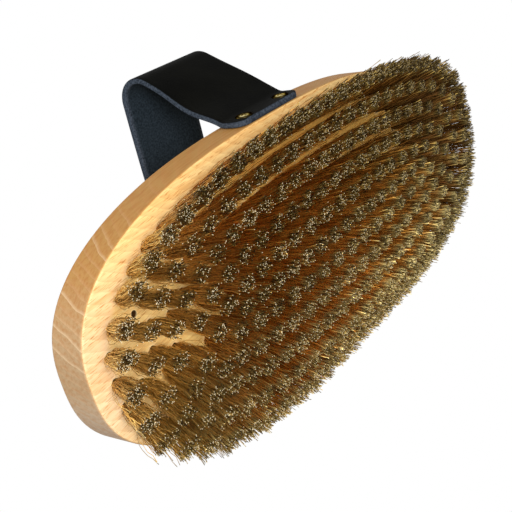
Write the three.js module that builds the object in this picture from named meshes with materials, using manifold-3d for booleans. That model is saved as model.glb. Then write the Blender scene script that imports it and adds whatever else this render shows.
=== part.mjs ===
// Oval hand brush: a beech block with rows of crimped brass wire tufts and a leather hand strap.
// Millimetres, +Z up. The brush stands on its bristle tips, at Z = 0. X runs along the block and
// the strap crosses it along Y. The origin is under the middle of the block.
import * as THREE from 'three';
import { mergeVertices } from 'three/addons/utils/BufferGeometryUtils.js';
import Module from 'manifold-3d';

const wasm = await Module();
wasm.setup();

// ---- driving dimensions ----

// Wooden block
const blockLength = 210;
const blockWidth = 86.4;
const blockThickness = 12.8;
const outlinePower = 2.55;        // 2 is an ellipse, higher is squarer
const blockEdgeRound = 0.8;
const blockSteps = 112;

// Rows of tufts: ovals nested inside each other, and last a straight row in the middle
const bristleLength = 17.8;       // from the face of the block to the trimmed tips
const rowMargin = 8.3;            // from the edge of the block to the outermost row of holes
const rowPitchLengthwise = 7.9;   // from row to row at the ends of the ovals
const rowPower = 2.54;
const tuftsInRow = [57, 50, 46, 39, 32, 15];
const firstTuft = [0.03, 0.33, 0.99, 0.73, 0.93, 0.57];  // start of a row, in parts of its pitch

// How the tips stand to their holes, after long use
const endSplay = 9.3;             // the outermost tips stand this far out beyond their holes
const sideSplay = 7.5;
const tipShiftLengthwise = 1.4;   // all the tips together have moved to +X and to -Y
const tipShiftCrosswise = -1.2;
const outerRowDraw = 3;           // the outer row stands in this much on its +X and +Y sides
const endHoleShift = 2.2;         // the holes of the -X end lie this much to +Y
const endTipShift = -0.8;         // and their tips this much to -Y
const endStart = 75;              // from this far out along -X
const endRise = 15;               // growing over this length

// One hole that was never filled, midway between two tufts
const emptyRow = 1;
const emptyAfter = 1;
const emptyRadius = 1.05;
const emptyDepth = 1;

// Wire strands, two to a tuft, and the strips of backing that hold them
const strandSides = 3;
const strandTipRadius = 1.15;
const strandBaseRadius = 0.8;
const strandTipSpacing = 2.9;
const strandBaseSpacing = 1.7;
const strandRoot = 0.9;           // how far a strand runs into its backing
const backingThickness = 1.6;
const backingGap = 0.3;           // between two strips, and from a strip to the block
const backingSteps = 44;

// Leather strap
const strapWidth = 34.8;
const strapThickness = 2;
const strapGap = 0.1;             // between the leather and the wall of the block
const strapEndHeight = 0.6;       // cut end, above the face of the block
const strapFlareDrop = 5.2;       // the leather leaves the wall this far below the back
const strapFlareAngle = 30 * Math.PI / 180;
const strapFlareRadius = 5;
const strapShoulderRadius = 8.4;
const strapOverhang = 17.9;       // from the wall stretch out to the shoulder, on the centre line
const strapCrownAngle = 3 * Math.PI / 180;
const strapCornerRadius = 4;
const flareSteps = 5;
const shoulderSteps = 12;
const crownSteps = 3;
const cornerSteps = 6;

// Countersunk screws in cup washers, two at each end of the strap
const screwEdgeInset = 6.8;       // from the long edge of the strap
const screwEndInset = 3.9;        // from its cut end
const screwHeadRadius = 2.05;
const screwHeadEdge = 0.1;
const screwHeadDome = 0.65;
const screwShankRadius = 1.2;
const screwReach = 12;            // from the outer face of the leather to the point
const screwPointLength = 2.2;
const crossLength = 2.5;
const crossWidth = 0.5;
const crossDepth = 0.8;
const washerBrim = 1;             // from the edge of the head to the edge of the washer
const washerFloor = 0.3;
const washerSeat = 0.1;           // under the washer
const fitGap = 0.3;               // round a shank, and from the head to its cup
const turnedSteps = 24;
const domeSteps = 4;

const cutMargin = 1;              // how far a cutting solid runs past what it cuts

// ---- derived places ----
const halfLength = blockLength / 2;
const halfWidth = blockWidth / 2;
const faceZ = bristleLength;
const backZ = faceZ + blockThickness;

const middleRow = tuftsInRow.length - 1;
const outerHoleLength = halfLength - rowMargin;
const outerHoleWidth = halfWidth - rowMargin;
const rowPitchCrosswise = outerHoleWidth / middleRow;
const splayLengthwise = (outerHoleLength + endSplay) / outerHoleLength;
const splayCrosswise = (outerHoleWidth + sideSplay) / outerHoleWidth;

const strapLineY = halfWidth + strapGap + strapThickness / 2;
const strapOuterY = strapLineY + strapThickness / 2;
const strapEndZ = faceZ + strapEndHeight;
const strapReach = strapLineY + strapOverhang;

const boreRadius = screwShankRadius + fitGap;
const cupRadius = screwHeadRadius + fitGap;
const washerRadius = screwHeadRadius + washerBrim;
const washerTop = washerSeat + washerFloor + cupRadius - boreRadius;

// ---- materials ----
function material(color, roughness, metalness) {
  return new THREE.MeshStandardMaterial({ color, roughness, metalness });
}

const beech = material(0xe9bd7c, 0.62, 0);
const brassWire = material(0x9a6a24, 0.42, 0.85);
const leather = material(0x14140f, 0.55, 0);
const brass = material(0xc9a550, 0.3, 1);

// ---- solids ----
function toSolid(geometry) {
  const bare = geometry.clone();
  bare.deleteAttribute('normal');
  bare.deleteAttribute('uv');
  const merged = mergeVertices(bare, 1e-4);
  return new wasm.Manifold(new wasm.Mesh({
    numProp: 3,
    vertProperties: new Float32Array(merged.attributes.position.array),
    triVerts: new Uint32Array(merged.index.array),
  }));
}

function toGeometry(solid) {
  const mesh = solid.getMesh();
  const geometry = new THREE.BufferGeometry();
  geometry.setAttribute('position', new THREE.BufferAttribute(mesh.vertProperties, 3));
  geometry.setIndex(new THREE.BufferAttribute(mesh.triVerts, 1));
  geometry.computeVertexNormals();
  return geometry;
}

function named(name, geometry, surface) {
  const mesh = new THREE.Mesh(geometry, surface);
  mesh.name = name;
  return mesh;
}

// An oval |x/a|^n + |y/b|^n = 1, run through from the -X end by way of -Y.
class OvalCurve extends THREE.Curve {
  constructor(a, b, power) {
    super();
    this.a = a;
    this.b = b;
    this.power = power;
    this.arcLengthDivisions = 1440;
  }

  getPoint(t, target = new THREE.Vector2()) {
    const angle = 2 * Math.PI * t;
    const c = Math.cos(angle);
    const s = Math.sin(angle);
    const x = -this.a * Math.sign(c) * Math.abs(c) ** (2 / this.power);
    const y = -this.b * Math.sign(s) * Math.abs(s) ** (2 / this.power);
    return target.set(x, y);
  }
}

function ovalOutline(a, b, power, steps) {
  const points = new OvalCurve(a, b, power).getSpacedPoints(steps);
  points.pop();
  return points;
}

// ---- tufts ----

// Half length and half width of a row of holes; a half number lies midway between two rows.
function holeOval(row) {
  return [outerHoleLength - row * rowPitchLengthwise, outerHoleWidth - row * rowPitchCrosswise];
}

// The line along which the holes of a row are evenly spaced.
function rowCurve(row) {
  const [a, b] = holeOval(row);
  if (row < middleRow) return new OvalCurve(a, b, rowPower);
  const end = new THREE.Vector2(a, 0);
  return new THREE.LineCurve(end.clone().negate(), end);
}

// How far a place of the outer row lies on the +X and +Y sides: 0 for not at all, 1 for fully.
function outerSide(place) {
  const [a, b] = holeOval(0);
  return THREE.MathUtils.clamp(place.x / a + place.y / b, 0, 1);
}

function rowOfTufts(count, row) {
  const curve = rowCurve(row);
  const tufts = [];
  for (let i = 0; i < count; i++) {
    const part = (i + firstTuft[row]) / count;
    const place = curve.getPointAt(part);
    const atEnd = THREE.MathUtils.clamp((-place.x - endStart) / endRise, 0, 1);
    const hole = new THREE.Vector2(place.x, place.y + endHoleShift * atEnd);
    const tip = new THREE.Vector2(place.x * splayLengthwise, place.y * splayCrosswise);
    if (row === 0) tip.setLength(tip.length() - outerRowDraw * outerSide(place));
    tip.x += tipShiftLengthwise;
    tip.y += tipShiftCrosswise + endTipShift * atEnd;
    tufts.push({ tip, hole, along: curve.getTangentAt(part) });
  }
  return tufts;
}

const rows = tuftsInRow.map(rowOfTufts);

// Corners of a strand's section at one level, as a polygon round its own middle.
function strandSection(tuft, side, level, radius, spacing) {
  const part = 1 - level / faceZ;
  const middle = tuft.hole.clone().lerp(tuft.tip, part);
  middle.addScaledVector(tuft.along, side * spacing / 2);
  const turn = tuft.along.angle() + (side > 0 ? 0 : Math.PI);
  const corners = [];
  for (let i = 0; i < strandSides; i++) {
    const angle = turn + 2 * Math.PI * i / strandSides;
    corners.push([
      middle.x + radius * Math.cos(angle),
      middle.y + radius * Math.sin(angle),
      level,
    ]);
  }
  return corners;
}

// All strands of some rows in one geometry: closed prisms with level ends that touch nothing.
function strandGeometry(tufts) {
  const rootZ = faceZ + strandRoot;
  const positions = [];
  const index = [];
  for (const tuft of tufts) {
    for (const side of [-1, 1]) {
      const first = positions.length / 3;
      const tips = strandSection(tuft, side, 0, strandTipRadius, strandTipSpacing);
      const roots = strandSection(tuft, side, rootZ, strandBaseRadius, strandBaseSpacing);
      positions.push(...tips.flat(), ...roots.flat());
      for (let i = 0; i < strandSides; i++) {
        const next = (i + 1) % strandSides;
        index.push(first + i, first + next, first + strandSides + next);
        index.push(first + i, first + strandSides + next, first + strandSides + i);
      }
      for (let i = 1; i < strandSides - 1; i++) {
        index.push(first, first + i + 1, first + i);
        index.push(first + strandSides, first + strandSides + i, first + strandSides + i + 1);
      }
    }
  }
  const geometry = new THREE.BufferGeometry();
  geometry.setAttribute('position', new THREE.Float32BufferAttribute(positions, 3));
  geometry.setIndex(index);
  return geometry;
}

function stripOutline(row, margin) {
  const [a, b] = holeOval(row);
  return ovalOutline(a + margin, b + margin, rowPower, backingSteps);
}

function emptyHole() {
  const row = rows[emptyRow];
  const place = row[emptyAfter].hole.clone().lerp(row[emptyAfter + 1].hole, 0.5);
  const bore = new THREE.CylinderGeometry(emptyRadius, emptyRadius, 2 * emptyDepth, turnedSteps / 2);
  bore.rotateX(Math.PI / 2);
  bore.translate(place.x, place.y, faceZ);
  return toSolid(bore);
}

// A strip of backing with the tufts of the rows from outerRow to innerRow standing on it.
function bristleStrip(outerRow, innerRow) {
  const shape = new THREE.Shape(stripOutline(outerRow - 0.5, -backingGap / 2));
  if (innerRow < middleRow) {
    shape.holes.push(new THREE.Path(stripOutline(innerRow + 0.5, backingGap / 2)));
  }
  const backing = new THREE.ExtrudeGeometry(shape, { depth: backingThickness, bevelEnabled: false });
  backing.translate(0, 0, faceZ);
  const tufts = rows.slice(outerRow, innerRow + 1).flat();
  let solid = toSolid(backing).add(toSolid(strandGeometry(tufts)));
  if (outerRow <= emptyRow && emptyRow <= innerRow) solid = solid.subtract(emptyHole());
  return toGeometry(solid);
}

// ---- block ----
function screwPlaces() {
  const places = [];
  for (const side of [-1, 1]) {
    for (const end of [-1, 1]) {
      const x = end * (strapWidth / 2 - screwEdgeInset);
      places.push({ side, end, x, z: strapEndZ + screwEndInset });
    }
  }
  return places;
}

// A straight bore along Y at each screw, between two distances from the middle of the brush.
function screwBores(nearY, farY) {
  return screwPlaces().map(({ side, x, z }) => {
    const bore = new THREE.CylinderGeometry(boreRadius, boreRadius, farY - nearY, turnedSteps / 2);
    bore.translate(x, side * (nearY + farY) / 2, z);
    return toSolid(bore);
  });
}

function cutAll(solid, tools) {
  return tools.reduce((rest, tool) => rest.subtract(tool), solid);
}

function blockGeometry() {
  const outline = ovalOutline(halfLength, halfWidth, outlinePower, blockSteps);
  const body = new THREE.ExtrudeGeometry(new THREE.Shape(outline), {
    depth: blockThickness - 2 * blockEdgeRound,
    bevelSize: blockEdgeRound,
    bevelThickness: blockEdgeRound,
    bevelOffset: -blockEdgeRound,
    bevelSegments: 2,
  });
  body.translate(0, 0, faceZ + blockEdgeRound);
  const recess = new THREE.ExtrudeGeometry(new THREE.Shape(stripOutline(-0.5, backingGap / 2)), {
    depth: backingThickness + cutMargin,
    bevelEnabled: false,
  });
  recess.translate(0, 0, faceZ - cutMargin);
  const boreEnd = strapOuterY - screwReach - fitGap;
  const tools = [toSolid(recess), ...screwBores(boreEnd, halfWidth + cutMargin)];
  return toGeometry(cutAll(toSolid(body), tools));
}

// ---- strap ----

// Centre line of the strap as points (y, z) from its -Y end to the middle of the crown: up the wall,
// out along a flare, round the shoulder and over the crown, each stretch tangent to the next.
function strapHalfLine() {
  const flareZ = backZ - strapFlareDrop;
  const sinFlare = Math.sin(strapFlareAngle);
  const cosFlare = Math.cos(strapFlareAngle);
  const slopeY = -strapLineY - strapFlareRadius * (1 - cosFlare);
  const slopeZ = flareZ + strapFlareRadius * sinFlare;
  const shoulderY = strapShoulderRadius - strapReach;
  const slopeLength = (slopeY + strapShoulderRadius * cosFlare - shoulderY) / sinFlare;
  const shoulderZ = slopeZ + slopeLength * cosFlare + strapShoulderRadius * sinFlare;
  const crownRadius = strapShoulderRadius - shoulderY / Math.sin(strapCrownAngle);
  const crownZ = shoulderZ + (strapShoulderRadius - crownRadius) * Math.cos(strapCrownAngle);

  const line = [new THREE.Vector2(-strapLineY, strapEndZ)];
  const arc = (y, z, radius, from, to, steps) => {
    for (let i = 0; i <= steps; i++) {
      const angle = from + (to - from) * i / steps;
      line.push(new THREE.Vector2(y + radius * Math.cos(angle), z + radius * Math.sin(angle)));
    }
  };
  const crownStart = Math.PI / 2 + strapCrownAngle;
  arc(-strapLineY - strapFlareRadius, flareZ, strapFlareRadius, 0, strapFlareAngle, flareSteps);
  arc(shoulderY, shoulderZ, strapShoulderRadius, Math.PI + strapFlareAngle, crownStart, shoulderSteps);
  line.pop();
  arc(0, crownZ, crownRadius, crownStart, Math.PI / 2, crownSteps);
  return line;
}

// The line moved sideways by a distance, measured square to it.
function beside(line, distance) {
  return line.map((point, i) => {
    const before = line[Math.max(i - 1, 0)];
    const after = line[Math.min(i + 1, line.length - 1)];
    const run = after.clone().sub(before).normalize();
    return new THREE.Vector2(point.x - run.y * distance, point.y + run.x * distance);
  });
}

// The outline of the flat strap seen along Y, with its two rounded corners at the cut end.
function strapOutlineCutter(height) {
  const side = strapWidth / 2;
  const r = strapCornerRadius;
  const outline = new THREE.Shape();
  outline.moveTo(side, height);
  outline.lineTo(-side, height);
  outline.absarc(r - side, r, r, Math.PI, 1.5 * Math.PI, false);
  outline.absarc(side - r, r, r, 1.5 * Math.PI, 2 * Math.PI, false);
  const depth = 2 * (strapReach + strapThickness);
  const cutter = new THREE.ExtrudeGeometry(outline, {
    depth,
    bevelEnabled: false,
    curveSegments: cornerSteps,
  });
  cutter.translate(0, 0, -depth / 2);
  cutter.rotateX(Math.PI / 2);
  cutter.translate(0, 0, strapEndZ);
  return toSolid(cutter);
}

function strapGeometry() {
  const half = strapHalfLine();
  const mirrored = half.slice(0, -1).reverse().map((point) => new THREE.Vector2(-point.x, point.y));
  const line = [...half, ...mirrored];
  const outer = beside(line, strapThickness / 2);
  const inner = beside(line, -strapThickness / 2);
  const profile = new THREE.Shape([...outer, ...inner.reverse()]);
  const band = new THREE.ExtrudeGeometry(profile, { depth: strapWidth, bevelEnabled: false });
  band.translate(0, 0, -strapWidth / 2);
  // The profile is drawn in (y, z) and pulled along X.
  band.applyMatrix4(new THREE.Matrix4().makeBasis(
    new THREE.Vector3(0, 1, 0),
    new THREE.Vector3(0, 0, 1),
    new THREE.Vector3(1, 0, 0),
  ));
  const height = half[half.length - 1].y + strapThickness - strapEndZ;
  const solid = toSolid(band).intersect(strapOutlineCutter(height));
  const bores = screwBores(halfWidth - cutMargin, strapOuterY + cutMargin);
  return toGeometry(cutAll(solid, bores));
}

// ---- screws and washers: axis along Z, with Z = 0 on the outer face of the leather ----
function turned(profile) {
  const points = profile.map(([r, z]) => new THREE.Vector2(r, z));
  return toSolid(new THREE.LatheGeometry(points, turnedSteps).rotateX(Math.PI / 2));
}

function washerGeometry() {
  const lip = washerBrim / 6;
  return toGeometry(turned([
    [boreRadius, washerSeat],
    [washerRadius, washerSeat],
    [washerRadius, washerSeat + washerFloor],
    [cupRadius + 2 * lip, washerTop - lip],
    [cupRadius, washerTop],
    [boreRadius, washerSeat + washerFloor],
    [boreRadius, washerSeat],
  ]));
}

function screwGeometry() {
  const domeStart = washerTop + screwHeadEdge;
  const dome = [];
  for (let i = 0; i < domeSteps; i++) {
    const angle = Math.PI / 2 * i / domeSteps;
    const r = screwHeadRadius * Math.cos(angle);
    dome.push([r, domeStart + screwHeadDome * Math.sin(angle)]);
  }
  let solid = turned([
    [0, -screwReach],
    [screwShankRadius, screwPointLength - screwReach],
    [screwShankRadius, washerTop - (screwHeadRadius - screwShankRadius)],
    [screwHeadRadius, washerTop],
    ...dome,
    [0, domeStart + screwHeadDome],
  ]);
  const slotHeight = crossDepth + cutMargin;
  const slotZ = domeStart + screwHeadDome - crossDepth + slotHeight / 2;
  for (const [x, y] of [[crossLength, crossWidth], [crossWidth, crossLength]]) {
    const slot = new THREE.BoxGeometry(x, y, slotHeight);
    slot.translate(0, 0, slotZ);
    solid = solid.subtract(toSolid(slot));
  }
  return toGeometry(solid);
}

// ---- assembly ----
const brush = new THREE.Group();
brush.add(named('block', blockGeometry(), beech));
brush.add(named('bristle_outer_row', bristleStrip(0, 0), brassWire));
brush.add(named('bristle_second_row', bristleStrip(1, 1), brassWire));
brush.add(named('bristle_third_row', bristleStrip(2, 2), brassWire));
brush.add(named('bristle_inner_rows', bristleStrip(3, middleRow), brassWire));
brush.add(named('strap', strapGeometry(), leather));

for (const { side, end, x, z } of screwPlaces()) {
  const place = `${side < 0 ? 'front' : 'rear'}_${end < 0 ? 'left' : 'right'}`;
  const fastening = new THREE.Group();
  fastening.position.set(x, side * strapOuterY, z);
  fastening.rotation.x = -side * Math.PI / 2;
  fastening.add(named(`washer_${place}`, washerGeometry(), brass));
  fastening.add(named(`screw_${place}`, screwGeometry(), brass));
  brush.add(fastening);
}

export default brush;
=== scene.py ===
"""The looks of an oval hand brush: a drilled beech block, tufts of crimped brass wire and a leather
strap.

Every formula is in millimetres, and every mesh and material in metres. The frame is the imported
model's: the bristle tips stand on Z = 0, X runs along the block and the strap crosses it along Y.
"""

import bpy
import numpy as np
from mathutils import Matrix, Vector, geometry


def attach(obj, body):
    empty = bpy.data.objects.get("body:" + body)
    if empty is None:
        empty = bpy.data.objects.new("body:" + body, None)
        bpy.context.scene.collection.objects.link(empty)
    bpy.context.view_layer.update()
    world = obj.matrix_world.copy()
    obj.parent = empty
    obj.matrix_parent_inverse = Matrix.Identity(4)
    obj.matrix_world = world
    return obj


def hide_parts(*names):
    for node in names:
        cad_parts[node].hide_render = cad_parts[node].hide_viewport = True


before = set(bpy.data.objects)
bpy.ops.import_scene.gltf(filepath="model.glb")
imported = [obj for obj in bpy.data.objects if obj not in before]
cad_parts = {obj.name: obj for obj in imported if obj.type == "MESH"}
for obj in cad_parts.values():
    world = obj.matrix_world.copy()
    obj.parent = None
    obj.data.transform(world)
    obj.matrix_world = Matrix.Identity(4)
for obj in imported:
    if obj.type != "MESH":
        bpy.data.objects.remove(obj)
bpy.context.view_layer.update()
random = np.random.default_rng(47)

# ---- sizes, as in the CAD model ----
FACE_Z = 17.8                       # face of the block, above the bristle tips
BACK_Z = 30.6
HALF_LENGTH, HALF_WIDTH, BLOCK_POWER = 105.0, 43.2, 2.55
EDGE_ROUND = 0.8

TUFTS_IN_ROW = [57, 50, 46, 39, 32, 15]
FIRST_TUFT = [0.03, 0.33, 0.99, 0.73, 0.93, 0.57]
ROW_POWER = 2.54
MIDDLE_ROW = 5
HOLE_OVAL = (HALF_LENGTH - 8.3, HALF_WIDTH - 8.3)
ROW_PITCH = (7.9, HOLE_OVAL[1] / MIDDLE_ROW)
SPLAY = (1 + 9.3 / HOLE_OVAL[0], 1 + 7.5 / HOLE_OVAL[1])
TIP_SHIFT = (1.4, -1.2)
HOLE_LEAN, TIP_LEAN, LEAN_START, LEAN_LENGTH = 2.2, -0.8, 75, 15
OUTER_DRAW = 3.0

STRAP_WIDTH, STRAP_THICKNESS = 34.8, 2.0
STRAP_LINE_Y = HALF_WIDTH + 0.1 + STRAP_THICKNESS / 2
STRAP_END_Z = FACE_Z + 0.6
STRAP_FLARE_Z = BACK_Z - 5.2
STRAP_FLARE_ANGLE, STRAP_FLARE_RADIUS = np.radians(30), 5.0
STRAP_SHOULDER_RADIUS, STRAP_REACH = 8.4, STRAP_LINE_Y + 17.9
STRAP_CROWN_ANGLE = np.radians(3)
STRAP_CORNER = 4.0
SCREW_X, SCREW_Z = STRAP_WIDTH / 2 - 6.8, STRAP_END_Z + 3.9

# ---- sizes of the looks alone ----
HOLE_RADIUS, HOLE_DEPTH, HOLE_RIM = 1.35, 5.0, 1.2
SPARE_HOLE_RADIUS, SPARE_HOLE_DEPTH, SPARE_HOLE_RIM = 1.1, 3.0, 0.4
TUFT_BESIDE_SPARE_HOLE = 2          # counted along the outer row
LEAN_FROM_SPARE_HOLE = (-1.1, 0.8)
PARTING = 2.9                       # how far some inner tufts of the -X end stand aside, to +Y
PARTING_X, PARTING_LENGTH = -71, 7  # where they stand aside the most, and how soon that ends

# Wires in a tuft, its radius at its tips before wear, and the share of its wires that are loose.
OUTER_TUFT, INNER_TUFT = (230, 3.3, 0.015), (150, 3.0, 0.012)
WIRE_LEVELS = 8
WIRE_RADIUS = 0.095                 # to the corners of a three-sided wire
WIRE_END_RADIUS, BURR_RADIUS = 0.13, 0.19       # of a cut end, and of one that kept its burr
BURR_LOT = 0.74                     # the wires whose lot is higher keep their burr and carry a painted white glint
WIRE_ROOT = 2.5                     # how deep a wire is followed into its hole
WIRE_LIMIT_X = 108.3                # no wire strays further than this along the block
CUT_SPREAD, CUT_MOST = 0.16, 0.5    # how much shorter than the rest a wire is cut
ROOT_SPREAD = 1.2                   # radius of a tuft in its hole
OPENING_SPREAD = 0.25               # how unevenly a tuft opens
BODY_OPENING = 0.92                 # how far open a tuft is below its tips
BENT_SHARE, BENT_OPENING = 0.12, 1.35           # wires bent outward, and how much wider they stand
WANDER = 0.35                       # how far a wire wanders round its tuft, in radians
BOW, LOOSE_BOW = 0.3, 4             # how far a wire bows, and how many times that if it's loose
STRAY = 0.2                         # how far a tip strays
CRIMP = 0.17                        # half the height of the crimp

STRAP_HANG = 3.0                    # see strap_line and leather_strap
DIP, DIP_RADIUS = 0.25, 3.0         # of the leather under a washer
SWELL, SWELL_RADIUS, SWELL_WIDTH = 0.12, 4.3, 1.1           # of the leather round that dip
RECESS_ARM, RECESS_REACH = 0.35, 1.3            # half the width of a screw's cross, and its radius


# ---- materials ----
def linear(hex_colour):
    """An sRGB hex colour as linear RGBA: below 0.04045 a straight line, above it a power of 2.4."""
    srgb = np.array([int(hex_colour[i:i + 2], 16) for i in (1, 3, 5)]) / 255
    rgb = np.where(srgb <= 0.04045, srgb / 12.92, ((srgb + 0.055) / 1.055) ** 2.4)
    return (*rgb.tolist(), 1.0)


# The sockets of a Mix node share their names, so they go by number: its factor, two numbers or two
# colours, and the colour that comes out.
FACTOR, NUMBER_A, NUMBER_B, A, B, MIXED = 0, 2, 3, 6, 7, 2


def node(tree, kind, inputs=None, **settings):
    """Adds a shader node, sets its own settings, and fills its inputs with values or links. An input
    goes by its name, or by its place where a node has several of one name, as for sums."""
    made = tree.nodes.new("ShaderNode" + kind)
    for name, value in settings.items():
        setattr(made, name, value)
    for key, value in (inputs or {}).items():
        if isinstance(value, bpy.types.NodeSocket):
            tree.links.new(value, made.inputs[key])
        else:
            made.inputs[key].default_value = value
    return made


def new_material(name):
    """An empty node material, with its tree and its Principled shader."""
    finish = bpy.data.materials.new(name)
    finish.use_nodes = True
    tree = finish.node_tree
    return finish, tree, tree.nodes["Principled BSDF"]


def sanded_beech():
    """Beech, steamed and sanded: warm yellow on the sawn face with short orange ray flecks along the
    grain, browner on the moulded wall, partly its own colour and partly painted shade, where the growth
    rings cross it as thin pale lines."""
    finish, tree, shader = new_material("sanded_beech")
    place = node(tree, "TexCoord").outputs["Object"]

    # Ray flecks 4 mm long and 0.25 mm thick, lying a few degrees off X.
    stretched = node(tree, "Mapping", {"Vector": place, "Rotation": (0, 0, -0.1),
                                       "Scale": (0.004, 0.00025, 0.00025)}, vector_type="TEXTURE")
    fleck = node(tree, "TexNoise", {"Vector": stretched.outputs[0], "Scale": 1, "Detail": 1.5})
    fleck = node(tree, "MapRange", {"Value": fleck.outputs[0], "From Min": 0.6, "From Max": 0.66})

    # Grain lines 0.9 mm apart that run for 40 mm, and slow drifts of tone some 25 mm across.
    lines = node(tree, "Mapping", {"Vector": place, "Scale": (25, 1100, 1100)})
    lines = node(tree, "TexNoise", {"Vector": lines.outputs[0], "Scale": 1, "Detail": 3})
    drift = node(tree, "TexNoise", {"Vector": place, "Scale": 40, "Detail": 2})

    # Growth rings 2.7 mm apart round a far axis that lies 27 degrees off X, so that they cross the wall
    # of the -X end at about 28 degrees from upright. Some are clear and some are faint.
    waver = node(tree, "TexNoise", {"Vector": place, "Scale": 60, "Detail": 3})
    waver = node(tree, "VectorMath", {0: waver.outputs["Color"], "Scale": 0.004}, operation="SCALE")
    bent = node(tree, "VectorMath", {0: place, 1: waver.outputs[0]}, operation="ADD")
    across = node(tree, "Mapping", {"Vector": bent.outputs[0], "Rotation": (0, 0, 0.47)},
                  vector_type="TEXTURE")
    across = node(tree, "VectorMath", {0: across.outputs[0], 1: (0, 1, 1), 2: (0, 0.250, 0.112)},
                  operation="MULTIPLY_ADD")
    radius = node(tree, "VectorMath", {0: across.outputs[0]}, operation="LENGTH")
    years = node(tree, "Math", {0: radius.outputs["Value"], 1: 0.0027}, operation="DIVIDE")
    ring = node(tree, "Math", {0: years.outputs[0]}, operation="FRACT")
    pale_line = node(tree, "MapRange", {"Value": ring.outputs[0], "From Min": 0.66, "From Max": 0.98})
    year = node(tree, "Math", {0: years.outputs[0]}, operation="FLOOR")
    year = node(tree, "TexWhiteNoise", {"W": year.outputs[0]}, noise_dimensions="1D")
    year = node(tree, "MapRange", {"Value": year.outputs[0], "From Min": 0.3, "To Min": 0.2})
    late_wood = node(tree, "MapRange", {"Value": ring.outputs[0], "From Min": 0.1, "From Max": 0.9})

    # The rings show clearly on the cut grain of the ends and fade along the sides.
    along = node(tree, "SeparateXYZ", {0: place})
    off_middle = node(tree, "Math", {0: along.outputs["X"]}, operation="ABSOLUTE")
    clear = node(tree, "MapRange", {"Value": off_middle.outputs[0], "From Min": 0.065,
                                    "From Max": 0.095, "To Min": 0.05, "To Max": 0.4})

    # The wall is where the surface doesn't look up or down.
    normal = node(tree, "SeparateXYZ", {0: node(tree, "NewGeometry").outputs["Normal"]})
    level = node(tree, "Math", {0: normal.outputs["Z"]}, operation="ABSOLUTE")
    wall = node(tree, "MapRange", {"Value": level.outputs[0], "From Min": 0.9, "From Max": 0.5})
    end = node(tree, "Math", {0: normal.outputs["X"]}, operation="ABSOLUTE")
    end = node(tree, "MapRange", {"Value": end.outputs[0], "From Min": 0.55, "From Max": 0.98})

    tone = node(tree, "MapRange", {"Value": drift.outputs[0], "From Min": 0.35, "From Max": 0.65})
    face = node(tree, "Mix", {FACTOR: tone.outputs[0], A: linear("#F4D2A2"), B: linear("#F5D9AE")},
                data_type="RGBA")
    # The face is yellower along its two sides, and brighter there as painted light.
    aside = node(tree, "Math", {0: along.outputs["Y"]}, operation="ABSOLUTE")
    yellow_lit_sides = node(tree, "MapRange", {"Value": aside.outputs[0], "From Min": 0.012,
                                       "From Max": 0.036, "To Max": 0.75})
    face = node(tree, "Mix", {FACTOR: yellow_lit_sides.outputs[0], A: face.outputs[MIXED],
                              B: linear("#FFD888")}, data_type="RGBA")
    # The end grain is paler and greyer to +Y: a painted highlight.
    grey = node(tree, "MapRange", {"Value": along.outputs["Y"], "From Min": 0.0, "From Max": 0.03})
    end_grain = node(tree, "Mix", {FACTOR: grey.outputs[0], A: linear("#B29672"), B: linear("#CDC2B2")},
                     data_type="RGBA")
    # The colours of the wall are partly painted shade: darker than its wood, as the wall turns away
    # from the light.
    side = node(tree, "Mix", {FACTOR: end.outputs[0], A: linear("#AE8246"),
                              B: end_grain.outputs[MIXED]}, data_type="RGBA")
    wood = node(tree, "Mix", {FACTOR: wall.outputs[0], A: face.outputs[MIXED], B: side.outputs[MIXED]},
                data_type="RGBA")
    # Painted golden light lies on the face among the tufts, as if bounced off the brass: golden at the
    # -X end, where it's open, and tawny further in.
    among = node(tree, "Attribute", attribute_name="among").outputs["Fac"]
    inward = node(tree, "MapRange", {"Value": along.outputs["X"], "From Min": -0.065,
                                     "From Max": -0.01})
    painted_brass_bounce = node(tree, "Mix", {FACTOR: inward.outputs[0], A: linear("#FFDC78"), B: linear("#FFC862")},
                 data_type="RGBA")
    wood = node(tree, "Mix", {FACTOR: among, A: wood.outputs[MIXED], B: painted_brass_bounce.outputs[MIXED]},
                data_type="RGBA")
    late = node(tree, "Math", {0: late_wood.outputs[0], 1: 0.2}, operation="MULTIPLY")
    wood = node(tree, "Mix", {FACTOR: late.outputs[0], A: wood.outputs[MIXED], B: linear("#B8793C")},
                data_type="RGBA")
    grain = node(tree, "MapRange", {"Value": lines.outputs[0], "From Min": 0.42, "From Max": 0.68,
                                    "To Max": 0.45})
    wood = node(tree, "Mix", {FACTOR: grain.outputs[0], A: wood.outputs[MIXED], B: linear("#E4B87C")},
                data_type="RGBA", blend_type="MULTIPLY")
    pale = node(tree, "Math", {0: pale_line.outputs[0], 1: wall.outputs[0]}, operation="MULTIPLY")
    pale = node(tree, "Math", {0: pale.outputs[0], 1: clear.outputs[0]}, operation="MULTIPLY")
    pale = node(tree, "Math", {0: pale.outputs[0], 1: year.outputs[0]}, operation="MULTIPLY")
    wood = node(tree, "Mix", {FACTOR: pale.outputs[0], A: wood.outputs[MIXED], B: linear("#F2DDB8")},
                data_type="RGBA")
    flecks = node(tree, "MapRange", {"Value": wall.outputs[0], "To Min": 0.75, "To Max": 0.15})
    flecks = node(tree, "Math", {0: fleck.outputs[0], 1: flecks.outputs[0]}, operation="MULTIPLY")
    wood = node(tree, "Mix", {FACTOR: flecks.outputs[0], A: wood.outputs[MIXED], B: linear("#C8964A")},
                data_type="RGBA", blend_type="MULTIPLY")
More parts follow.
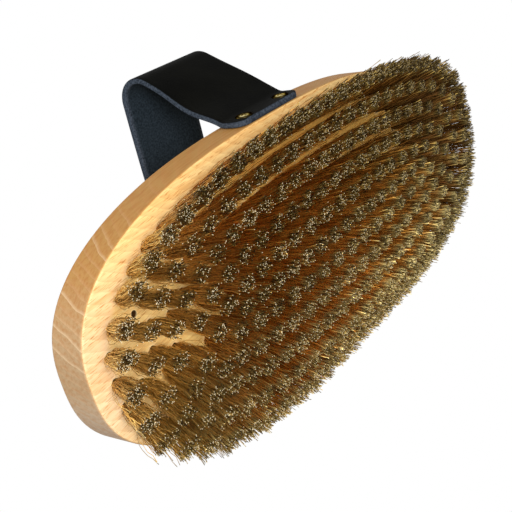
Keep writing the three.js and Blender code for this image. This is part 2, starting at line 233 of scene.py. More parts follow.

    # The torn rims of the drilled holes show fresh, paler wood with a painted highlight, and the bores
    # are dark with painted shade.
    rim = node(tree, "Attribute", attribute_name="rim").outputs["Fac"]
    torn_rim_and_highlight = node(tree, "MapRange", {"Value": rim, "From Min": 0.0, "From Max": 1.0, "To Max": 0.3})
    wood = node(tree, "Mix", {FACTOR: torn_rim_and_highlight.outputs[0], A: wood.outputs[MIXED], B: linear("#FFF0C4")},
                data_type="RGBA")
    bore_shade = node(tree, "MapRange", {"Value": rim, "From Min": 1.0, "From Max": 1.4})
    wood = node(tree, "Mix", {FACTOR: bore_shade.outputs[0], A: wood.outputs[MIXED], B: linear("#4A2E14")},
                data_type="RGBA")
    bump = node(tree, "Bump", {"Height": lines.outputs[0], "Strength": 0.25, "Distance": 0.0002})
    tree.links.new(wood.outputs[MIXED], shader.inputs["Base Color"])
    tree.links.new(bump.outputs[0], shader.inputs["Normal"])
    shader.inputs["Roughness"].default_value = 0.62
    shader.inputs["Specular IOR Level"].default_value = 0.2
    return finish


def crimped_brass_wire():
    """Drawn brass wire, crimped in rollers and tarnished brown-gold. Light is coloured again each time
    it goes from wire to wire, so a tuft is a dark, rich brown inside; painted shade darkens it further
    towards the roots, over the +X end and along the -Y edge, and painted light makes the -X end more
    golden. The last millimetres are olive from use, paler to +Y and darker to -Y with painted shade,
    and the cut ends are bare metal: some carry a painted white glint and some are dark."""
    finish, tree, shader = new_material("crimped_brass_wire")
    along = node(tree, "Attribute", attribute_name="along").outputs["Fac"]
    lot = node(tree, "Attribute", attribute_name="lot").outputs["Fac"]
    place = node(tree, "TexCoord").outputs["Object"]

    # Every wire has a tone of its own, by its lot. Over the last 60 mm of the -X end it turns golden:
    # painted light, as the wires there are lit the most.
    brown = node(tree, "Mix", {FACTOR: lot, A: linear("#A85C15"), B: linear("#FFB74C")},
                 data_type="RGBA")
    gold = node(tree, "Mix", {FACTOR: lot, A: linear("#A0741E"), B: linear("#FFE08A")},
                data_type="RGBA")
    part = node(tree, "SeparateXYZ", {0: place})
    near_end = node(tree, "MapRange", {"Value": part.outputs["X"], "From Min": -0.045,
                                       "From Max": -0.085})
    shaft = node(tree, "Mix", {FACTOR: near_end.outputs[0], A: brown.outputs[MIXED],
                               B: gold.outputs[MIXED]}, data_type="RGBA")
    # Painted shade darkens the wires down in the tufts, less at the -X end.
    painted_root_shade = node(tree, "MapRange", {"Value": along, "From Min": 0.85, "From Max": 0.45,
                                   "To Max": 0.3})
    open_air = node(tree, "Math", {0: near_end.outputs[0], 1: -0.7, 2: 1.0},
                    operation="MULTIPLY_ADD")
    painted_root_shade = node(tree, "Math", {0: painted_root_shade.outputs[0], 1: open_air.outputs[0]}, operation="MULTIPLY")
    shaft = node(tree, "Mix", {FACTOR: painted_root_shade.outputs[0], A: shaft.outputs[MIXED], B: linear("#6A3410")},
                 data_type="RGBA")

    # The last 16% of a wire is olive from use, or the last 9% at the -X end. To -Y the olive is darker
    # with painted shade, and few of the tips there are bright.
    bright_to = node(tree, "Math", {0: near_end.outputs[0], 1: 0.07, 2: 0.84},
                     operation="MULTIPLY_ADD")
    worn_and_shaded_tips = node(tree, "MapRange", {"Value": along, "From Min": bright_to.outputs[0],
                                   "From Max": 0.98})
    few = node(tree, "Math", {0: lot, 1: 2.6}, operation="POWER")
    dark = node(tree, "Mix", {FACTOR: few.outputs[0], A: linear("#3C2B0E"), B: linear("#FAD46E")},
                data_type="RGBA")
    light = node(tree, "Mix", {FACTOR: lot, A: linear("#4C3C1A"), B: linear("#FFE594")},
                 data_type="RGBA")
    plus_y = node(tree, "MapRange", {"Value": part.outputs["Y"], "From Min": -0.01,
                                     "From Max": 0.03})
    olive = node(tree, "Mix", {FACTOR: plus_y.outputs[0], A: dark.outputs[MIXED],
                               B: light.outputs[MIXED]}, data_type="RGBA")
    colour = node(tree, "Mix", {FACTOR: worn_and_shaded_tips.outputs[0], A: shaft.outputs[MIXED],
                                B: olive.outputs[MIXED]}, data_type="RGBA")

    # The cut ends look down. Those with a burr carry a painted white glint, and the rest go from dark
    # to dull gold by their lot.
    normal = node(tree, "SeparateXYZ", {0: node(tree, "NewGeometry").outputs["Normal"]})
    cut = node(tree, "MapRange", {"Value": normal.outputs["Z"], "From Min": -0.95, "From Max": -0.99})
    gleam = node(tree, "MapRange", {"Value": lot, "From Min": 0.3, "From Max": 0.8})
    painted_glint = node(tree, "MapRange", {"Value": lot, "From Min": BURR_LOT - 0.01,
                                    "From Max": BURR_LOT + 0.01})
    ends = node(tree, "Mix", {FACTOR: gleam.outputs[0], A: linear("#2A1E0C"), B: linear("#BC9E52")},
                data_type="RGBA")
    ends = node(tree, "Mix", {FACTOR: painted_glint.outputs[0], A: ends.outputs[MIXED], B: linear("#FFF0CC")},
                data_type="RGBA")
    colour = node(tree, "Mix", {FACTOR: cut.outputs[0], A: colour.outputs[MIXED],
                                B: ends.outputs[MIXED]}, data_type="RGBA")

    # Painted shade darkens the wires over the +X end, the most on its -Y side, and along the -Y edge,
    # and makes them rougher there. It is a quarter weaker over the olive tips.
    spot = node(tree, "VectorMath", {0: place, 1: (1, -0.3, 0)}, operation="DOT_PRODUCT")
    painted_wire_shade = node(tree, "MapRange", {"Value": spot.outputs["Value"], "From Min": 0.0,
                                      "From Max": 0.08, "To Max": 0.85})
    edge = node(tree, "MapRange", {"Value": part.outputs["Y"], "From Min": -0.03, "From Max": -0.04,
                                   "To Max": 0.35})
    painted_wire_shade = node(tree, "Math", {0: painted_wire_shade.outputs[0], 1: edge.outputs[0]}, operation="MAXIMUM")
    kept = node(tree, "Math", {0: worn_and_shaded_tips.outputs[0], 1: -0.25, 2: 1.0}, operation="MULTIPLY_ADD")
    painted_wire_shade = node(tree, "Math", {0: painted_wire_shade.outputs[0], 1: kept.outputs[0]}, operation="MULTIPLY")
    colour = node(tree, "Mix", {FACTOR: painted_wire_shade.outputs[0], A: colour.outputs[MIXED],
                                B: linear("#241907")}, data_type="RGBA")
    rough = node(tree, "MapRange", {"Value": painted_wire_shade.outputs[0], "To Min": 0.4, "To Max": 0.62})
    tree.links.new(colour.outputs[MIXED], shader.inputs["Base Color"])
    tree.links.new(rough.outputs[0], shader.inputs["Roughness"])
    shader.inputs["Metallic"].default_value = 0.85
    return finish


def bridle_leather():
    """Black dyed cowhide. The outside has a fine pebbled grain with a low wax shine, the flesh side is
    a blue-grey nap, and the cut edges are the same nap, a little paler."""
    finish, tree, shader = new_material("bridle_leather")
    place = node(tree, "TexCoord").outputs["Object"]
    outside = node(tree, "Attribute", attribute_name="outside").outputs["Fac"]
    edge = node(tree, "Attribute", attribute_name="edge").outputs["Fac"]

    # Pebbles of the grain and clumps of fibre of the nap, both 0.7 mm across, and patches of 11 mm
    # where the dye took better.
    pebble = node(tree, "TexVoronoi", {"Vector": place, "Scale": 1400}, feature="SMOOTH_F1")
    fibre = node(tree, "TexNoise", {"Vector": place, "Scale": 1500, "Detail": 3})
    blotch = node(tree, "TexNoise", {"Vector": place, "Scale": 90, "Detail": 3})

    nap = node(tree, "MapRange", {"Value": fibre.outputs[0], "From Min": 0.35, "From Max": 0.65})
    flesh = node(tree, "Mix", {FACTOR: nap.outputs[0], A: linear("#1A2127"), B: linear("#29323A")},
                 data_type="RGBA")
    cut = node(tree, "Mix", {FACTOR: nap.outputs[0], A: linear("#272D35"), B: linear("#454D58")},
               data_type="RGBA")
    flesh = node(tree, "Mix", {FACTOR: edge, A: flesh.outputs[MIXED], B: cut.outputs[MIXED]},
                 data_type="RGBA")
    dye = node(tree, "MapRange", {"Value": blotch.outputs[0], "From Min": 0.3, "From Max": 0.7})
    grain = node(tree, "Mix", {FACTOR: dye.outputs[0], A: linear("#050504"), B: linear("#0B0B08")},
                 data_type="RGBA")
    colour = node(tree, "Mix", {FACTOR: outside, A: flesh.outputs[MIXED], B: grain.outputs[MIXED]},
                  data_type="RGBA")
    rough = node(tree, "MapRange", {"Value": outside, "To Min": 0.95, "To Max": 0.6})
    height = node(tree, "Mix", {FACTOR: outside, NUMBER_A: fibre.outputs[0],
                                NUMBER_B: pebble.outputs[0]})
    bump = node(tree, "Bump", {"Height": height.outputs[0], "Strength": 0.5, "Distance": 0.0001})
    tree.links.new(colour.outputs[MIXED], shader.inputs["Base Color"])
    tree.links.new(rough.outputs[0], shader.inputs["Roughness"])
    tree.links.new(bump.outputs[0], shader.inputs["Normal"])
    shader.inputs["Specular IOR Level"].default_value = 0.015
    return finish


def turned_brass(name, dull, bright, grazing, recess):
    """Brass that was turned or pressed and has dulled in the air: brown-gold in its hollows, brighter
    where it's handled, with tarnished patches 1.4 mm across. A screw head has painted shade towards its
    rim and in its cross recess."""
    finish, tree, shader = new_material(name)
    place = node(tree, "TexCoord").outputs["Object"]
    patch = node(tree, "TexNoise", {"Vector": place, "Scale": 700, "Detail": 3})
    mask = node(tree, "MapRange", {"Value": patch.outputs[0], "From Min": 0.35, "From Max": 0.65})
    colour = node(tree, "Mix", {FACTOR: mask.outputs[0], A: linear(dull), B: linear(bright)},
                  data_type="RGBA")
    if recess:
        # How far a point is from its screw's axis: all four lie at the same Z and the same X, + or -.
        side = node(tree, "VectorMath", {0: place}, operation="ABSOLUTE")
        off = node(tree, "VectorMath", {0: side.outputs[0], 1: (SCREW_X / 1000, 0, SCREW_Z / 1000)},
                   operation="SUBTRACT")
        off = node(tree, "VectorMath", {0: off.outputs[0], 1: (1, 0, 1)}, operation="MULTIPLY")
        radius = node(tree, "VectorMath", {0: off.outputs[0]}, operation="LENGTH")
        # Painted shade darkens the head outside its cross and fills the cross, which has two arms with
        # soft sides.
        rim = node(tree, "MapRange", {"Value": radius.outputs["Value"],
                                      "From Min": (RECESS_REACH + 0.1) / 1000,
                                      "From Max": (RECESS_REACH + 0.6) / 1000})
        off = node(tree, "VectorMath", {0: off.outputs[0]}, operation="ABSOLUTE")
        off = node(tree, "SeparateXYZ", {0: off.outputs[0]})
        arm = node(tree, "Math", {0: off.outputs["X"], 1: off.outputs["Z"]}, operation="MINIMUM")
        arm = node(tree, "MapRange", {"Value": arm.outputs[0], "From Min": (RECESS_ARM + 0.05) / 1000,
                                      "From Max": (RECESS_ARM - 0.05) / 1000})
        inner = node(tree, "MapRange", {"Value": radius.outputs["Value"],
                                        "From Min": (RECESS_REACH + 0.1) / 1000,
                                        "From Max": (RECESS_REACH - 0.1) / 1000})
        arm = node(tree, "Math", {0: arm.outputs[0], 1: inner.outputs[0]}, operation="MULTIPLY")
        dark = node(tree, "Math", {0: rim.outputs[0], 1: arm.outputs[0]}, operation="MAXIMUM")
        colour = node(tree, "Mix", {FACTOR: dark.outputs[0], A: colour.outputs[MIXED],
                                    B: linear("#1C180C")}, data_type="RGBA")
    rough = node(tree, "MapRange", {"Value": mask.outputs[0], "To Min": 0.42, "To Max": 0.25})
    tree.links.new(colour.outputs[MIXED], shader.inputs["Base Color"])
    tree.links.new(rough.outputs[0], shader.inputs["Roughness"])
    shader.inputs["Metallic"].default_value = 1.0
    shader.inputs["Specular Tint"].default_value = linear(grazing)
    return finish


BEECH = sanded_beech()
WIRE = crimped_brass_wire()
LEATHER = bridle_leather()
WASHER_BRASS = turned_brass("pressed_washer_brass", "#1C1608", "#4A3E20", "#5C4A1E", False)
SCREW_BRASS = turned_brass("turned_screw_brass", "#8A7A44", "#FFF2C0", "#D8C27C", True)


# ---- meshes ----
def make_piece(name, points, faces, finish, replaced=(), smooth=True, values=None):
    """A piece from arrays: points (n, 3) in millimetres, faces as a list of arrays of corner numbers,
    one array for each number of corners, and values as named numbers for each point."""
    mesh = bpy.data.meshes.new(name)
    corners = np.concatenate([f.ravel() for f in faces]).astype(np.int32)
    counts = np.concatenate([np.full(len(f), f.shape[1]) for f in faces])
    mesh.vertices.add(len(points))
    mesh.vertices.foreach_set("co", np.asarray(points, np.float32).ravel() / 1000)
    mesh.loops.add(len(corners))
    mesh.loops.foreach_set("vertex_index", corners)
    mesh.polygons.add(len(counts))
    mesh.polygons.foreach_set("loop_start", (np.cumsum(counts) - counts).astype(np.int32))
    mesh.polygons.foreach_set("use_smooth", np.full(len(counts), smooth))
    for key, value in (values or {}).items():
        mesh.attributes.new(key, "FLOAT", "POINT").data.foreach_set("value", np.ravel(value))
    mesh.update(calc_edges=True)
    mesh.validate()
    mesh.materials.append(finish)
    piece = bpy.data.objects.new(name, mesh)
    bpy.context.scene.collection.objects.link(piece)
    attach(piece, "root")
    if replaced:
        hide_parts(*replaced)
    return piece


def grid_faces(rows, columns, first=0):
    """Quads between the neighbouring rows of a grid of points whose columns close into a ring."""
    row, column = np.meshgrid(np.arange(rows - 1), np.arange(columns), indexing="ij")
    after = (column + 1) % columns
    quads = np.stack([row * columns + column, row * columns + after,
                      (row + 1) * columns + after, (row + 1) * columns + column], -1)
    return quads.reshape(-1, 4) + first


def oval(a, b, power, turn):
    """Points of |x/a|^n + |y/b|^n = 1 at parts of a turn, run from the -X end by way of -Y."""
    c, s = np.cos(2 * np.pi * turn), np.sin(2 * np.pi * turn)
    x = -a * np.sign(c) * np.abs(c) ** (2 / power)
    y = -b * np.sign(s) * np.abs(s) ** (2 / power)
    return np.stack([x, y], -1)


def even_parts(curve, parts):
    """Points of a curve at parts of its length, found on the running length of a fine polyline."""
    turn = np.linspace(0, 1, 1441)
    step = np.linalg.norm(np.diff(curve(turn), axis=0), axis=1)
    run = np.concatenate([[0], np.cumsum(step)])
    return curve(np.interp(np.asarray(parts) % 1 * run[-1], run, turn))


def ramp(value, start, end):
    """0 up to start, 1 from end on, and a straight line between them. The end may be the lower one."""
    return ((value - start) / (end - start)).clip(0, 1)


# ---- tufts ----
def row_of_tufts(row):
    """Tip and hole centres of a row. The holes are evenly spaced on an oval, the last row's on a
    straight line, and the tips are the holes scaled out by the splay and shifted. Over the -X end the
    holes move to +Y and the tips to -Y. The tips of the outer row come in by 3 mm * w on the +X and +Y
    sides, where w = x / a + y / b, kept between 0 and 1. A few tufts from y = 2 to 10, fading out to
    0.8 and 14, stand aside by the parting * exp(-((x + 71) / 7)^2), which leaves a lane of bare wood
    over the -X end. The outer tuft beside the spare hole leans away from it."""
    a = HOLE_OVAL[0] - row * ROW_PITCH[0]
    b = HOLE_OVAL[1] - row * ROW_PITCH[1]
    parts = (np.arange(TUFTS_IN_ROW[row]) + FIRST_TUFT[row]) / TUFTS_IN_ROW[row]
    if row == MIDDLE_ROW:
        places = np.stack([-a + 2 * a * parts, 0 * parts], -1)
    else:
        places = even_parts(lambda turn: oval(a, b, ROW_POWER, turn), parts)
    lean = ramp(-places[:, 0], LEAN_START, LEAN_START + LEAN_LENGTH)
    aside = PARTING * np.exp(-((places[:, 0] - PARTING_X) / PARTING_LENGTH) ** 2)
    places[:, 1] += aside * ramp(places[:, 1], 0.8, 2) * ramp(places[:, 1], 14, 10)
    holes = places + np.stack([0 * lean, HOLE_LEAN * lean], -1)
    tips = places * SPLAY
    if row == 0:
        side = (places / (a, b)).sum(1, keepdims=True).clip(0, 1)
        tips = tips * (1 - OUTER_DRAW * side / np.linalg.norm(tips, axis=1, keepdims=True))
    tips = tips + TIP_SHIFT + np.stack([0 * lean, TIP_LEAN * lean], -1)
    if row == 0:
        tips[TUFT_BESIDE_SPARE_HOLE] += LEAN_FROM_SPARE_HOLE
    return tips, holes


ROWS = [row_of_tufts(row) for row in range(MIDDLE_ROW + 1)]
# The hole that was never filled lies between two tufts of the second row, 0.4 mm to -Y.
_, second_row_holes = ROWS[1]
SPARE_HOLE = second_row_holes[1:3].mean(0) - (0, 0.4)


def worn_open(tips, outer):
    """How far use has opened some tufts along X and along Y, as factors: a share of each is added or
    taken away towards an end or a side. The tufts stand open the most along X on the +Y side. They are
    narrow in the middle of the -X end, where bare wood shows between them. Over the +X end the inner
    ones are drawn together, and the outer row spreads along Y and closes up."""
    x, y = tips[:, 0], tips[:, 1]
    near_end, far_end = ramp(x, -35, -85), ramp(x, 10, 70)
    plus_y, minus_y = ramp(y, 0, 15), ramp(y, 0, -12) * ramp(x, -50, -20)
    lane = near_end * ramp(np.abs(y + 6), 16, 8)
    if outer:
        along_x = 1.2 + 0.38 * plus_y + 0.15 * minus_y
        along_y = 0.88 + 0.15 * plus_y - 0.12 * lane
        along_y = along_y + 0.95 * far_end * ramp(np.abs(y), 34, 0) - 0.3 * near_end * plus_y
    else:
        along_x = 1.2 + 0.15 * plus_y + 0.15 * minus_y - 0.4 * far_end
        along_y = 0.88 - 0.12 * lane - 0.2 * far_end + 0.07 * minus_y
    return along_x[:, None, None], along_y[:, None, None]


def tuft_wires(name, tips, holes, outer, replaced):
    """Crimped wires of some tufts, each a three-sided bar through level sections from its hole to its
    tip. The centre runs straight from the hole to the tip of its tuft. A wire stands off that centre by
    root + (body - root) * (1 - (1 - s)^4) + (open - body) * s^8, with s from 0 at the face to 1 at the
    tips, so a tuft opens fast as it leaves its hole and flares again at its tip. Root, body and open
    are shares of the wire's rank, a random number to the power 0.6, and wear stretches that stand-off
    along X and Y. The crimp moves every other section to one side and the rest to the other. A slow
    bow carries the middle off by bow * 4 * s * (1 - s), and a stray carries the tip off by
    stray * s^8. Each wire draws a lot from 0 to 1, times a tone that its tuft shares: the material
    takes its colour from it, and a high one leaves a burr on the cut end."""
    tufts = len(tips)
    wires_in_tuft, opening, loose_share = OUTER_TUFT if outer else INNER_TUFT
    shape = (tufts, wires_in_tuft, 1)
    level = np.linspace(0, 1, WIRE_LEVELS)
    cut = np.abs(random.normal(0, CUT_SPREAD, shape)).clip(0, CUT_MOST)
    z = FACE_Z + WIRE_ROOT + (cut - FACE_Z - WIRE_ROOT) * level
    s = ((FACE_Z - z) / FACE_Z).clip(0, 1)

    rank = random.random(shape) ** 0.6
    bearing = 2 * np.pi * random.random(shape) + random.normal(0, WANDER, shape) * s
    bent = random.random(shape) < BENT_SHARE
    root = ROOT_SPREAD * rank
    open_to = opening * rank + random.normal(0, OPENING_SPREAD, shape)
    open_to = open_to * np.where(bent, BENT_OPENING, 1)
    body = BODY_OPENING * open_to
    off = root + (body - root) * (1 - (1 - s) ** 4) + (open_to - body) * s ** 8
    bow = random.normal(0, BOW, (2,) + shape) * 4 * s * (1 - s)
    bow = bow * np.where(random.random(shape) < loose_share, LOOSE_BOW, 1)
    stray = random.normal(0, STRAY, (2,) + shape) * s ** 8
    crimp_way = 2 * np.pi * random.random(shape)
    crimp = CRIMP * random.uniform(0.5, 1.5, (tufts, wires_in_tuft, WIRE_LEVELS))
    crimp = crimp * np.where(np.arange(WIRE_LEVELS) % 2, 1, -1)

    centre = holes[:, None, None] + (tips - holes)[:, None, None] * s[..., None]
    along_x, along_y = worn_open(tips, outer)
    loose = bow + stray
    x = centre[..., 0] + along_x * off * np.cos(bearing) + crimp * np.cos(crimp_way) + loose[0]
    y = centre[..., 1] + along_y * off * np.sin(bearing) + crimp * np.sin(crimp_way) + loose[1]
    x = x.clip(-WIRE_LIMIT_X, WIRE_LIMIT_X)
    corner = 2 * np.pi * (np.arange(3) / 3 + random.random(shape + (1,)))
    lot = random.random(shape)
    tone = 0.86 + 0.14 * random.random((tufts, 1, 1))
    thick = np.full(x.shape, WIRE_RADIUS)
    thick[..., -1:] = np.where(lot * tone > BURR_LOT, BURR_RADIUS, WIRE_END_RADIUS)
    points = np.stack([
        x[..., None] + thick[..., None] * np.cos(corner),
        y[..., None] + thick[..., None] * np.sin(corner),
        np.broadcast_to(z[..., None], x.shape + (3,)),
    ], -1).reshape(-1, 3)

    wires = tufts * wires_in_tuft
    first = (np.arange(wires) * WIRE_LEVELS * 3)[:, None, None]
    sides = (grid_faces(WIRE_LEVELS, 3)[:, ::-1] + first).reshape(-1, 4)
    root_cap = first[:, 0] + [0, 1, 2]
    tip_cap = first[:, 0] + (WIRE_LEVELS - 1) * 3 + np.array([0, 2, 1])
    along = np.tile(np.repeat(level, 3), wires)
    return make_piece(name, points, [sides, root_cap, tip_cap], WIRE, replaced,
                      smooth=False, values={"along": along,
                                            "lot": np.repeat((lot * tone).ravel(), WIRE_LEVELS * 3)})


ROW_NAMES = ["outer_row", "second_row", "third_row", "fourth_row", "fifth_row", "middle_row"]
for row, (tips, holes) in enumerate(ROWS):
    # Each row comes as its -X half and its +X half, and the outer row also as its -Y and +Y sides, so
    # that no piece has too many faces. The solids hold the last three rows in one node.
    stands_for = ["bristle_" + ROW_NAMES[row]] if row < 3 else ["bristle_inner_rows"]
    for part, half in (("near", tips[:, 0] < 0), ("far", tips[:, 0] >= 0)):
        if row == 0:
            for side, there in (("right", tips[:, 1] < 0), ("left", tips[:, 1] >= 0)):
                tuft_wires(f"outer_row_{part}_{side}_wires", tips[half & there],
                           holes[half & there], True, stands_for)
        else:
            tuft_wires(f"{ROW_NAMES[row]}_{part}_wires", tips[half], holes[half], False, stands_for)


# ---- block ----
def drilled_block():
    """The beech block: an oval outline carried round a profile with rounded edges, its back one face,
    and its front triangulated between the edge and a ring round every hole. Each hole is that ring, a
    smaller one at its rim, a third at its bottom and a level floor. The painted golden bounce light
    among the tufts fills the oval of the outer row, weaker at the -X end."""
    steps, around = 240, 16
    outline = even_parts(lambda t: oval(HALF_LENGTH, HALF_WIDTH, BLOCK_POWER, t),
                         np.arange(steps) / steps)
    pull = np.sign(outline) * np.abs(outline / (HALF_LENGTH, HALF_WIDTH)) ** (BLOCK_POWER - 1)
    pull = pull / (HALF_LENGTH, HALF_WIDTH)
    outward = pull / np.linalg.norm(pull, axis=1, keepdims=True)

    turn = np.linspace(0, np.pi / 2, 5)
    inset = EDGE_ROUND * (1 - np.sin(turn))
    rise = EDGE_ROUND * (1 - np.cos(turn))
    inset = np.concatenate([inset, inset[::-1]])
    height = np.concatenate([FACE_Z + rise, BACK_Z - rise[::-1]])
    shell = np.empty((len(inset), steps, 3))
    shell[..., :2] = outline - inset[:, None, None] * outward
    shell[..., 2] = height[:, None]

    centres = np.concatenate([holes for _, holes in ROWS] + [SPARE_HOLE[None]])
    radius = np.full(len(centres), HOLE_RADIUS)
    depth = np.full(len(centres), HOLE_DEPTH)
    rim = np.full(len(centres), HOLE_RIM)
    radius[-1], depth[-1], rim[-1] = SPARE_HOLE_RADIUS, SPARE_HOLE_DEPTH, SPARE_HOLE_RIM
    angle = 2 * np.pi * np.arange(around) / around
    circle = np.stack([np.cos(angle), np.sin(angle)], -1)
    rings = np.empty((len(centres), 3, around, 3))
    for ring, (wider, deeper) in enumerate([(1, 0), (0, 0), (0, 1)]):
        rings[:, ring, :, :2] = centres[:, None] + (radius + wider * rim)[:, None, None] * circle
        rings[:, ring, :, 2] = FACE_Z + deeper * depth[:, None]

    points = np.concatenate([shell.reshape(-1, 3), rings.reshape(-1, 3)])
    first_ring = shell.size // 3 + np.arange(len(centres)) * 3 * around
    round_holes = first_ring[:, None] + np.arange(around)
    on_face = np.concatenate([np.arange(steps), round_holes.ravel()])
    loops = [list(range(steps))]
    loops += (steps + np.arange(round_holes.size).reshape(-1, around)).tolist()
    _, _, triangles, source, _, inside = geometry.delaunay_2d_cdt(
        [Vector(p) for p in points[on_face, :2]], [], loops, 1, 1e-7)
    source = np.array([ids[0] for ids in source])
    # A triangle of the face lies inside the outline, loop 0, and inside no hole.
    wanted = [corners for corners, found in zip(triangles, inside) if list(found) == [0]]
    front = on_face[source[np.array(wanted)]][:, ::-1]

    hole_walls = grid_faces(3, around)[:, ::-1][None] + first_ring[:, None, None]
    floors = first_ring[:, None] + 2 * around + np.arange(around)[::-1]
    back = ((len(inset) - 1) * steps + np.arange(steps))[None]
    faces = [front, grid_faces(len(inset), steps), back, hole_walls.reshape(-1, 4), floors]
    # How far down a hole a point lies: 0 on the face, 1 at the rim and 3 at the bottom.
    in_hole = np.zeros(len(points))
    in_hole[shell.size // 3:] = np.tile(np.repeat([0, 1, 3], around), len(centres))
    # Painted golden bounce light among the tufts, weaker at the -X end.
    reach = (np.abs(points[:, :2] / HOLE_OVAL) ** ROW_POWER).sum(1) ** (1 / ROW_POWER)
    painted_brass_bounce = ramp(reach, 1, 0.98) * (0.5 + 0.45 * ramp(points[:, 0], -85, -40))
    return make_piece("drilled_block", points, faces, BEECH, ["block"], smooth=False,
                      values={"rim": in_hole, "among": painted_brass_bounce})


drilled_block()


# ---- strap ----
def strap_line():
    """Centre line of the strap in (y, z): up the wall at -Y, out along a flare, up a straight slope,
    round the shoulder, over the crown, and the same mirrored, each stretch tangent to the next, in
    points about 1 mm apart. With it comes how far the leather hangs: sin(pi t)^2 * (1 - t) at a part t
    of the slope, and 0 elsewhere."""
    sin, cos = np.sin(STRAP_FLARE_ANGLE), np.cos(STRAP_FLARE_ANGLE)
    slope = np.array([-STRAP_LINE_Y - STRAP_FLARE_RADIUS * (1 - cos),
                      STRAP_FLARE_Z + STRAP_FLARE_RADIUS * sin])
    shoulder_y = STRAP_SHOULDER_RADIUS - STRAP_REACH
    slope_length = (slope[0] + STRAP_SHOULDER_RADIUS * cos - shoulder_y) / sin
    shoulder_z = slope[1] + slope_length * cos + STRAP_SHOULDER_RADIUS * sin
    crown_radius = STRAP_SHOULDER_RADIUS - shoulder_y / np.sin(STRAP_CROWN_ANGLE)
    crown_z = shoulder_z + (STRAP_SHOULDER_RADIUS - crown_radius) * np.cos(STRAP_CROWN_ANGLE)

    def arc(y, z, radius, start, end, steps):
        angle = np.linspace(start, end, steps)
        return np.stack([y + radius * np.cos(angle), z + radius * np.sin(angle)], -1)

    # The cut end is followed closely, where the corners are rounded.
    rise = STRAP_CORNER * (1 - np.cos(np.linspace(0, np.pi / 2, 8)))
    rise = np.concatenate([rise, np.arange(STRAP_CORNER + 1, STRAP_FLARE_Z - STRAP_END_Z - 0.5)])
    wall = np.stack([np.full(len(rise), -STRAP_LINE_Y), STRAP_END_Z + rise], -1)
    crown_start = np.pi / 2 + STRAP_CROWN_ANGLE
    flare = arc(-STRAP_LINE_Y - STRAP_FLARE_RADIUS, STRAP_FLARE_Z, STRAP_FLARE_RADIUS,
                0, STRAP_FLARE_ANGLE, 10)
    part = np.linspace(0.04, 0.96, 24)
    straight = slope + part[:, None] * slope_length * np.array([-sin, cos])
    shoulder = arc(shoulder_y, shoulder_z, STRAP_SHOULDER_RADIUS,
                   np.pi + STRAP_FLARE_ANGLE, crown_start, 26)[:-1]
    crown = arc(0, crown_z, crown_radius, crown_start, np.pi / 2, 40)
    half = np.concatenate([wall, flare, straight, shoulder, crown])
    hang = np.zeros(len(half))
    start = len(wall) + len(flare)
    hang[start:start + len(part)] = np.sin(np.pi * part) ** 2 * (1 - part)
    return np.concatenate([half, half[-2::-1] * (-1, 1)]), np.concatenate([hang, hang[-2::-1]])


